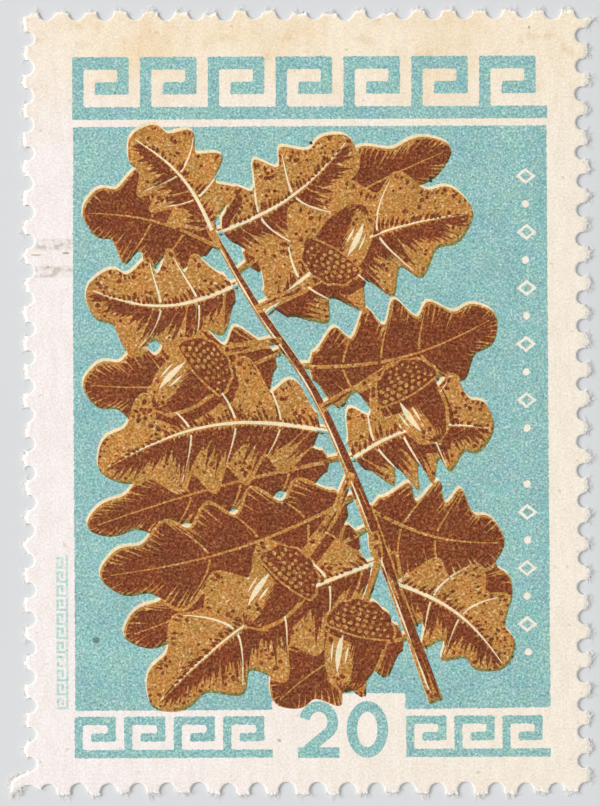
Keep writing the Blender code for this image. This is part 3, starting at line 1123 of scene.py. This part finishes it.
numeral = {
    # two plain figures: place and size in mm, and the width of the pen
    "left": -0.46, "base": -17.64, "height": 2.80, "width": 2.05, "gap": 0.36, "pen": 0.52, "slim": 0.06,
    # the swan's neck of the 2, in degrees, and the steps of its straight slope and of the 0
    "arcStart": 168, "arcStep": -12, "arcPoints": 18, "slopeSteps": 6, "footIn": 0.05, "ringSides": 48,
}


def numeralRegion():
    # figures 2 and 0, with the hollow in the second
    pen, width, height = numeral["pen"], numeral["width"], numeral["height"]
    left, base, half = numeral["left"], numeral["base"], numeral["pen"] / 2
    rise = width / 2 - half
    reach = rise - numeral["slim"]
    crown = base + height - half - rise
    arc = []
    for k in range(numeral["arcPoints"]):
        angle = math.radians(numeral["arcStart"] + numeral["arcStep"] * k)
        arc.append((left + width / 2 + reach * math.cos(angle), crown + rise * math.sin(angle)))
    foot = (left + half + numeral["footIn"], base + half)
    slope = [between(arc[-1], foot, t) for t in evenly(numeral["slopeSteps"] + 1)[1:]]
    bar = [(left, base), (left + width, base), (left + width, base + pen), (left, base + pen)]
    middle = (left + 1.5 * width + numeral["gap"], base + height / 2)
    sides = numeral["ringSides"]
    outer, hollow = (ringLoop(*middle, width / 2 - inset, height / 2 - inset, sides) for inset in (0.0, pen))
    swan = strokeLoop([(point, pen) for point in arc + slope])
    plane = coverPlane({"figure": [swan, bar, outer], "hollow": [hollow]})
    return keptTriangles(plane, lambda cover: "figure" in cover and "hollow" not in cover)


def plateRegion(knocks):
    # turquoise panel with everything that the plate leaves open
    rng = random.Random(panel["seed"])
    marks, cores = markLoops(rng)
    step, rough = panel["edgeStep"], panel["edgeRough"]
    outline = roughLoop(list(panel["outline"]), step, rough, rng, panel["cornerCut"])
    plane = coverPlane({"panel": [outline], "knock": knocks, "mark": marks, "core": cores})

    def inked(cover):
        return "panel" in cover and "knock" not in cover and ("mark" not in cover or "core" in cover)

    return keptTriangles(plane, inked)


def makeInks():
    forms = sprigForms()
    outlines = [form["outline"] for form in forms]
    boxes = [boxOf(loop) for loop in outlines]
    knocks = [movedLoop(loop, panel["plateShift"]) for loop in outlines]
    root = layers["inkRoot"]
    turquoise = inkMaterial("turquoiseGravureInk", inks["turquoise"])
    plate = slabObject("turquoiseInk", [plateRegion(knocks), numeralRegion()], root, layers["turquoiseTop"])
    finishPiece(plate, turquoise)
    wash = slabObject("ochreWash", [regionOf(knocks)], root, layers["washTop"])
    finishPiece(wash, inkMaterial("paleOchreWash", inks["wash"]))

    fills, lines = [], []
    for index, (form, outline, box) in enumerate(zip(forms, outlines, boxes)):
        fronts = [outlines[k] for k in range(index) if boxesMeet(box, boxes[k], sprig["rimGap"])]
        near = [knock for knock, other in zip(knocks, boxes) if boxesMeet(box, other, sprig["knockReach"])]
        around = {"form": [outline], "panel": [panel["outline"]], "knock": near}
        plane = coverPlane({**around, "front": fronts, "clear": form["clear"]})
        fills.append(keptTriangles(plane, lambda cover: "form" in cover and not cover & {"front", "clear"}))
        rims = [grownLoop(loop, sprig["rimGap"]) for loop in fronts]
        shadows = [movedLoop(grownLoop(loop, sprig["shadowGrow"]), sprig["shadowShift"]) for loop in fronts]
        strokes, clear = form["brown"] + shadows, form["clear"] + form["ochre"]
        plane = coverPlane({**around, "front": rims, "stroke": strokes, "clear": clear})
        lines.append(keptTriangles(
            plane, lambda cover: {"form", "stroke"} <= cover and not cover & {"front", "clear"}))
    over = {"overTurquoise": lambda cover: "panel" in cover and "knock" not in cover}
    fill = slabObject("ochreInk", fills, root, layers["ochreTop"], flags=over)
    finishPiece(fill, inkMaterial("ochreGravureInk", inks["ochre"], inks["ochreOver"]))
    line = slabObject("brownInk", lines, root, layers["brownTop"], panel["brownShift"], over)
    finishPiece(line, inkMaterial("brownGravureInk", inks["brown"], inks["brownOver"]))
    return turquoise, fill, line


def ornamentRowTree():
    # a row of one unit, side by side
    tree, add, given = newTree("ornamentRow", (
        ("Unit", "Object"), ("Count", "Int"), ("Start", "Vector"), ("Step", "Vector"), ("Ink", "Material"),
    ))
    line = add("MeshLine", {
        "Count": given["Count"], "Start Location": given["Start"], "Offset": given["Step"],
    })
    unit = add("ObjectInfo", {"Object": given["Unit"]}, transform_space="ORIGINAL").outputs["Geometry"]
    units = add("InstanceOnPoints", {"Points": line, "Instance": unit})
    endTree(add, units, given["Ink"])
    return tree


ornaments = {
    # key unit on a grid of 6 by 5 cells
    "key": ((0, 0), (6, 0), (6, 1), (1, 1), (1, 4), (4, 4), (4, 3), (2, 3), (2, 2), (5, 2), (5, 5), (0, 5)),
    "cells": 6, "seed": 12, "jointSlack": 0.001,
    # step and roughness of the outlines in mm, and how much is cut off the corners
    "friezeEdge": (0.075, 0.024), "cornerCut": 0.07, "marginEdge": (0.06, 0.012),
    # count, left, foot, cell width and cell height in mm
    "topFrieze": (7, -11.50, 13.95, 0.559, 0.62),
    "lowerLeftFrieze": (4, -11.50, -17.62, 0.408, 0.41),
    "lowerRightFrieze": (3, 4.90, -17.62, 0.3965, 0.41),
    # fine key line up the left margin: count, right, foot, cell width and cell height in mm
    "marginLine": (11, -11.80, -15.20, 0.116, 0.98 * 0.116),
}


def makeOrnaments(turquoise, fine):
    tree = ornamentRowTree()
    rng = random.Random(ornaments["seed"])

    def layRow(name, outline, step, ink):
        # one unit repeated from the row's start
        count, x, y = ornaments[name][:3]
        unit = slabObject(name + "Unit", [regionOf([outline])], layers["inkRoot"], layers["turquoiseTop"])
        row = growMesh(meshObject(name), tree, {
            "Unit": unit, "Count": count, "Start": (*metres((x, y)), 0.0), "Step": (*metres(step), 0.0),
            "Ink": ink,
        })
        dropHelpers(unit)
        finishPiece(row)

    slack = ornaments["jointSlack"]
    for name in ("topFrieze", "lowerLeftFrieze", "lowerRightFrieze"):
        _, _, _, wide, tall = ornaments[name]

        def joint(point):
            # where one unit meets the next its foot stays straight
            return point[1] < tall + slack and not slack < point[0] < ornaments["cells"] * wide - slack

        key = [(x * wide, y * tall) for x, y in ornaments["key"]]
        outline = roughLoop(key, *ornaments["friezeEdge"], rng, ornaments["cornerCut"], joint)
        layRow(name, outline, (ornaments["cells"] * wide, 0.0), turquoise)
    _, _, _, wide, tall = ornaments["marginLine"]
    upright = [(-y * wide, x * tall) for x, y in ornaments["key"]]
    outline = roughLoop(upright, *ornaments["marginEdge"], rng)
    layRow("marginLine", outline, (0.0, ornaments["cells"] * wide), fine)


stipple = {
    # in mm, with the density per square mm: the dots' spacing and size, then how near the brown lines
    # (solid) and the ochre's rim (edge) they may lie, and how far from the lines they thin out
    "distance": 0.19, "density": 60.0, "radius": 0.092, "sides": 7, "seed": 21,
    "solid": 0.05, "edge": 0.10, "near": 0.12, "reach": 0.55,
    # clouds of dots to the millimetre, and the noise where they start and are full
    "cloudPerMm": 0.9, "cloudEdge": (0.36, 0.60),
    # how the dots vary in size and in breadth, and the seeds of the draws
    "sizes": (0.45, 1.35), "breadths": (0.60, 1.55), "turns": (0.0, 6.28),
    "shareSeed": 8, "breadthSeed": 3, "turnSeed": 9,
    # a face is a top above this Z of its normal, and a wall within it
    "faceUp": 0.5,
}


def stippleTree():
    # brown dots over the ochre's top, crowded beside the solid brown and thinning out away from it
    tree, add, given = newTree("brownStipple", (
        ("Brown Lines", "Object"), ("Solid", "Float"), ("Edge", "Float"), ("Near", "Float"),
        ("Reach", "Float"), ("Distance", "Float"), ("Density", "Float"), ("Cloud Scale", "Float"),
        ("Radius", "Float"), ("Sides", "Int"), ("Bottom", "Float"), ("Top", "Float"), ("Seed", "Int"),
        ("Ink", "Material"),
    ))
    top, bottom, seed = given["Top"], given["Bottom"], given["Seed"]
    facing = add("SeparateXYZ", (add("InputNormal"),)).outputs["Z"]
    upward = add("Compare", (facing, stipple["faceUp"]), data_type="FLOAT", operation="GREATER_THAN")
    points = add("DistributePointsOnFaces", {
        "Mesh": given["Geometry"], "Selection": upward, "Distance Min": given["Distance"],
        "Density Max": given["Density"], "Seed": seed,
    }, distribute_method="POISSON")
    position = add("InputPosition")
    # thinned away from the brown lines, in clouds
    info = add("ObjectInfo", {"Object": given["Brown Lines"]}, transform_space="ORIGINAL").outputs["Geometry"]
    nearest = add("Proximity", {"Geometry": info, "Sample Position": position}, target_element="FACES")
    away = nearest.outputs["Distance"]
    fade = add("MapRange", (away, given["Reach"], given["Near"]), interpolation_type="SMOOTHSTEP")
    cloud = add("TexNoise", {"Vector": position, "Scale": given["Cloud Scale"], "Detail": 2.0})
    crowd = add("MapRange", (cloud, *stipple["cloudEdge"]), interpolation_type="SMOOTHSTEP")
    share = add("Math", (fade, crowd), operation="MULTIPLY")
    # a random number takes its least value at 2 and its greatest at 3
    drawn = add("RandomValue", {2: 0.0, 3: 1.0, "Seed": stipple["shareSeed"]}, data_type="FLOAT")
    spare = add("Math", (drawn, share), operation="GREATER_THAN")
    # and kept off the lines themselves and the ochre's rim
    hidden = add("Math", (away, given["Solid"]), operation="LESS_THAN")
    steep = add("Math", (facing, 0.0, stipple["faceUp"]), operation="COMPARE")
    walls = add("SeparateGeometry", {"Geometry": given["Geometry"], "Selection": steep}, domain="FACE")
    inset = add("Proximity", {"Geometry": walls, "Sample Position": position}, target_element="FACES")
    beyond = add("Math", (inset.outputs["Distance"], given["Edge"]), operation="LESS_THAN")
    outer = add("Math", (hidden, beyond), operation="MAXIMUM")
    either = add("Math", (spare, outer), operation="MAXIMUM")
    thinned = add("DeleteGeometry", {"Geometry": points, "Selection": either}, domain="POINT")
    spot = add("SeparateXYZ", (position,)).outputs
    both = add("Math", (top, bottom), operation="ADD")
    middle = add("Math", (both, 0.5), operation="MULTIPLY")
    level = add("CombineXYZ", (spot["X"], spot["Y"], middle))
    settled = add("SetPosition", {"Geometry": thinned, "Position": level})
    depth = add("Math", (top, bottom), operation="SUBTRACT")
    dot = add("MeshCylinder", {"Vertices": given["Sides"], "Radius": given["Radius"], "Depth": depth})
    draws = []
    seeds = (seed, stipple["breadthSeed"], stipple["turnSeed"])
    for span, drawSeed in zip(("sizes", "breadths", "turns"), seeds):
        least, most = stipple[span]
        draws.append(add("RandomValue", {2: least, 3: most, "Seed": drawSeed}, data_type="FLOAT"))
    size, wide, angle = draws
    broad = add("Math", (size, wide), operation="MULTIPLY")
    scale = add("CombineXYZ", (size, broad, 1.0))
    turn = add("CombineXYZ", {"Z": angle})
    dots = add("InstanceOnPoints", {"Points": settled, "Instance": dot, "Rotation": turn, "Scale": scale})
    endTree(add, dots, given["Ink"])
    return tree


def makeStipple(fill, lines):
    dots = meshObject("brownStipple")
    dots.data = fill.data.copy()
    labels = ("Solid", "Edge", "Near", "Reach", "Distance", "Radius")
    lengths = {label: stipple[label.lower()] * mm for label in labels}
    growMesh(dots, stippleTree(), {
        **lengths, "Brown Lines": lines, "Density": stipple["density"] / mm ** 2,
        "Cloud Scale": stipple["cloudPerMm"] / mm, "Sides": stipple["sides"], "Seed": stipple["seed"],
        "Bottom": layers["inkRoot"] * mm, "Top": layers["stippleTop"] * mm,
        "Ink": inkMaterial("brownStippleInk", inks["brown"]),
    })
    finishPiece(dots)


fibres = {
    # nine curly shapes, in mm, with how far they bend in radians at each joint
    "shapes": 9, "bend": 1.25, "length": 0.44, "radius": 0.012, "thin": 0.55, "sides": 4, "joints": 7,
    "turnShare": (0.1, 1.0), "rootX": -0.06, "wave": 0.006, "waveTurn": 2.2, "seed": 77,
    # share of the torn edge's points that carry one, at the left and the right of the sheet
    "share": 0.50, "rightShare": 0.75, "halfWidth": 14.4,
    # their size, how far they stray from straight out, and how high they lie
    "shortest": 0.22, "longest": 0.95, "spread": 1.15, "low": 0.035, "high": 0.085,
    "heightSeed": 2, "straySeed": 4, "sizeSeed": 6,
    # the tuft: how many, the box of their roots from the corner column and the tuft's top, and their heading
    "tuftCount": 210, "tuftSeed": 8, "tuftWide": (0.40, 0.94), "tuftTall": (0.10, 0.98),
    "tuftHeading": 185.0, "tuftStray": 40,
    "roughness": 0.7, "ior": 1.48, "tonePerMm": 4.0, "tones": ((0.35, "#F6F0E8"), (0.65, "#FFFEFC")),
}


def fibreShapes(rng):
    # curly wood fibres, from their root along +X, to be scattered along the tears
    shapes, sides, last = [], fibres["sides"], fibres["joints"] - 1
    stride = fibres["length"] / last
    for index in range(fibres["shapes"]):
        turn, angle, point, path = rng.uniform(-1, 1) * fibres["bend"], 0.0, (fibres["rootX"], 0.0), []
        for _ in range(fibres["joints"]):
            path.append(point)
            angle += turn * rng.uniform(*fibres["turnShare"])
            point = stepOff(point, (math.cos(angle), math.sin(angle)), stride)
        coords = []
        for k, (before, joint, after) in enumerate(zip(path[:1] + path, path, path[1:] + path[-1:])):
            across = rightOf(before, after)
            thick = fibres["radius"] * (1 - fibres["thin"] * k / last)
            lift = fibres["wave"] * math.sin(fibres["waveTurn"] * k + index)
            for side in range(sides):
                around = 2 * math.pi * (side + 0.5) / sides
                x, y = stepOff(joint, across, -thick * math.cos(around))
                coords.append(metres((x, y, thick * math.sin(around) + lift)))
        faces = []
        for k in range(0, last * sides, sides):
            for side in range(sides):
                a, b = k + side, k + (side + 1) % sides
                faces.append((a, b, b + sides, a + sides))
        faces.append(tuple(reversed(range(sides))))
        faces.append(tuple(range(last * sides, len(coords))))
        shapes.append(meshObject("fibre" + str(index), coords, [], faces))
    return shapes


def fibresTree():
    # fibres stand out of the torn edges, more of them towards the right
    tree, add, given = newTree("tornFibres", (
        ("Fibres", "Collection"), ("Share", "Float"), ("Right Share", "Float"), ("Half Width", "Float"),
        ("Shortest", "Float"), ("Longest", "Float"), ("Spread", "Float"), ("Low", "Float"), ("High", "Float"),
        ("Seed", "Int"), ("Paper", "Material"),
    ))
    halfWidth, spread = given["Half Width"], given["Spread"]
    place = add("SeparateXYZ", (add("InputPosition"),)).outputs["X"]
    negative = add("Math", (halfWidth, -1.0), operation="MULTIPLY")
    chance = add("MapRange", (place, negative, halfWidth, given["Share"], given["Right Share"]))
    picked = add("RandomValue", {"Probability": chance, "Seed": given["Seed"]}, data_type="BOOLEAN")
    points = add("MeshToPoints", {"Mesh": given["Geometry"], "Selection": picked})
    height = add("RandomValue", {2: given["Low"], 3: given["High"], "Seed": fibres["heightSeed"]},
                 data_type="FLOAT")
    lift = add("CombineXYZ", {"Z": height})
    raised = add("SetPosition", {"Geometry": points, "Offset": lift})
    outward = add("InputNamedAttribute", {"Name": "outward"}, data_type="FLOAT_VECTOR")
    heading = add("SeparateXYZ", (outward,)).outputs
    angle = add("Math", (heading["Y"], heading["X"]), operation="ARCTAN2")
    less = add("Math", (spread, -1.0), operation="MULTIPLY")
    stray = add("RandomValue", {2: less, 3: spread, "Seed": fibres["straySeed"]}, data_type="FLOAT")
    total = add("Math", (angle, stray), operation="ADD")
    turn = add("CombineXYZ", {"Z": total})
    size = add("RandomValue", {2: given["Shortest"], 3: given["Longest"], "Seed": fibres["sizeSeed"]},
               data_type="FLOAT")
    scale = add("CombineXYZ", (size, size, 1.0))
    kinds = add("CollectionInfo", {
        "Collection": given["Fibres"], "Separate Children": True, "Reset Children": True,
    })
    hairs = add("InstanceOnPoints", {
        "Points": raised, "Instance": kinds, "Pick Instance": True, "Rotation": turn, "Scale": scale,
    })
    endTree(add, hairs, given["Paper"])
    return tree


def looseFibreMaterial():
    # bleached wood fibres pulled out of the sheet: clean white and matt
    material, add, shader = newMaterial("looseWoodFibre", fibres["roughness"], fibres["ior"])
    tone = add("TexNoise", {"Vector": add("TexCoord").outputs["Object"], "Scale": fibres["tonePerMm"] / mm})
    setInputs(shader, {"Base Color": add("ValToRGB", (tone,), fibres["tones"])})
    return material


def tuftRoots():
    # a point for each fibre of the tuft at the lower left corner, with the way it points
    rng = random.Random(fibres["tuftSeed"])
    coords, ways = [], []
    for _ in range(fibres["tuftCount"]):
        x = -sheet["columnX"] - rng.uniform(*fibres["tuftWide"])
        y = sheet["tuftTop"] - rng.uniform(*fibres["tuftTall"])
        heading = math.radians(fibres["tuftHeading"] + rng.gauss(0, fibres["tuftStray"]))
        coords.append(onSheet(x, y))
        ways.append((math.cos(heading), math.sin(heading)))
    tuft = meshObject("cornerTuft", coords)
    storeOutward(tuft.data, ways)
    return tuft


def makeFibres(torn):
    shapes = fibreShapes(random.Random(fibres["seed"]))
    group = bpy.data.collections.new("fibreShapes")
    for shape in shapes:
        group.objects.link(shape)
    tree, material = fibresTree(), looseFibreMaterial()
    edge = meshObject("tornFibres")
    edge.data = torn.data.copy()
    for hairs, share, rightShare in ((edge, fibres["share"], fibres["rightShare"]), (tuftRoots(), 1.0, 1.0)):
        growMesh(hairs, tree, {
            "Fibres": group, "Share": share, "Right Share": rightShare,
            "Half Width": fibres["halfWidth"] * mm,
            "Shortest": fibres["shortest"], "Longest": fibres["longest"], "Spread": fibres["spread"],
            "Low": fibres["low"] * mm, "High": fibres["high"] * mm, "Seed": fibres["seed"], "Paper": material,
        })
        finishPiece(hairs)
    dropHelpers(*shapes)
    bpy.data.collections.remove(group)


specks = {
    # middle, half width and half height in mm
    "inkSpecks": ((0.30, 12.77, 0.08, 0.09), (6.21, 10.95, 0.075, 0.15)),
    "greySpeck": ((-10.41, -11.78, 0.17, 0.16),),
    "faintTraces": (
        (11.10, 18.45, 0.06, 0.085), (-11.87, 7.37, 0.17, 0.05), (-13.35, 7.28, 0.26, 0.04),
        (-1.40, -16.77, 0.09, 0.08), (-12.74, 6.69, 0.06, 0.07),
    ),
    "sides": 14, "ragged": (0.7, 1.2), "seed": 3,
}


def makeSpecks(name, ink):
    rng = random.Random(specks["seed"])
    loops = []
    for x, y, wide, tall in specks[name]:
        loops.append([
            (x + out * rng.uniform(*specks["ragged"]), y + up * rng.uniform(*specks["ragged"]))
            for out, up in ringLoop(0.0, 0.0, wide, tall, specks["sides"])
        ])
    piece = slabObject(name, [regionOf(loops)], layers["inkRoot"], layers["speckTop"])
    finishPiece(piece, inkMaterial(name + "Ink", ink))


stage = {
    # sizes in metres
    "half": 0.45, "tones": ((0.3, "#D8D9DA"), (0.7, "#DCDDDE")), "tonePerMetre": 30.0,
    "roughness": 0.9, "ior": 1.45, "specular": 0.0,
}


def makeFloor():
    # seamless paper backdrop, matt and even
    half = stage["half"]
    corners = [(-half, -half, 0), (half, -half, 0), (half, half, 0), (-half, half, 0)]
    floor = meshObject("studioFloor", corners, [], [(0, 1, 2, 3)])
    material, add, shader = newMaterial("mattBackdropPaper", stage["roughness"], stage["ior"])
    coords = add("TexCoord").outputs["Object"]
    tone = add("TexNoise", {"Vector": coords, "Scale": stage["tonePerMetre"], "Detail": 2.0})
    colour = add("ValToRGB", (tone,), stage["tones"])
    setInputs(shader, {"Base Color": colour, "Specular IOR Level": stage["specular"]})
    floor.data.materials.append(material)


lights = {
    # place in metres, width, power in watts
    "key": ((-0.72, 0.18, 0.414), 0.40, 8.8),
    "fill": ((0.36, -0.16, 0.48), 0.60, 1.32),
    "worldGrey": "#E6E8EA", "worldStrength": 0.30,
}


def makeLights():
    scene = bpy.context.scene
    for name in ("key", "fill"):
        place, width, power = lights[name]
        lamp = bpy.data.lights.new(name + "Panel", "AREA")
        lamp.size = width
        lamp.energy = power
        holder = bpy.data.objects.new(name + "Panel", lamp)
        holder.location = place
        holder.rotation_euler = (-Vector(place)).to_track_quat("-Z", "Y").to_euler()
        scene.collection.objects.link(holder)
    world = bpy.data.worlds.new("softRoom")
    world.use_nodes = True
    sky = world.node_tree.nodes["Background"]
    setInputs(sky, {"Color": lights["worldGrey"], "Strength": lights["worldStrength"]})
    scene.world = world
    scene.view_settings.view_transform = "Standard"


camera = {
    # lens, sensor and aim in mm, height and nearest view in metres, turn in degrees
    "lens": 90.0, "sensor": 36.0, "aim": (0.025, -0.025),
    "height": 0.09975, "nearest": 0.001, "turn": -0.22,
}


def makeCamera():
    lens = bpy.data.cameras.new("viewCamera")
    lens.lens = camera["lens"]
    lens.sensor_width = camera["sensor"]
    lens.clip_start = camera["nearest"]
    eye = bpy.data.objects.new("viewCamera", lens)
    eye.location = (*metres(camera["aim"]), camera["height"])
    eye.rotation_euler = (0.0, 0.0, math.radians(camera["turn"]))
    bpy.context.scene.collection.objects.link(eye)
    bpy.context.scene.camera = eye


region, holes = sheetRegion()
helpers = edgeHelpers(region, holes)
makePaper(region, helpers)
makeGum(region)
turquoise, fill, lines = makeInks()
makeOrnaments(turquoise, inkMaterial("thinTurquoiseInk", inks["fine"]))
makeStipple(fill, lines)
makeSpecks("inkSpecks", inks["speck"])
makeSpecks("greySpeck", inks["greySpeck"])
makeSpecks("faintTraces", inks["trace"])
makeFibres(helpers["torn"])
dropHelpers(*helpers.values())
makeFloor()
makeLights()
makeCamera()
print("stage: floor, lights and camera")
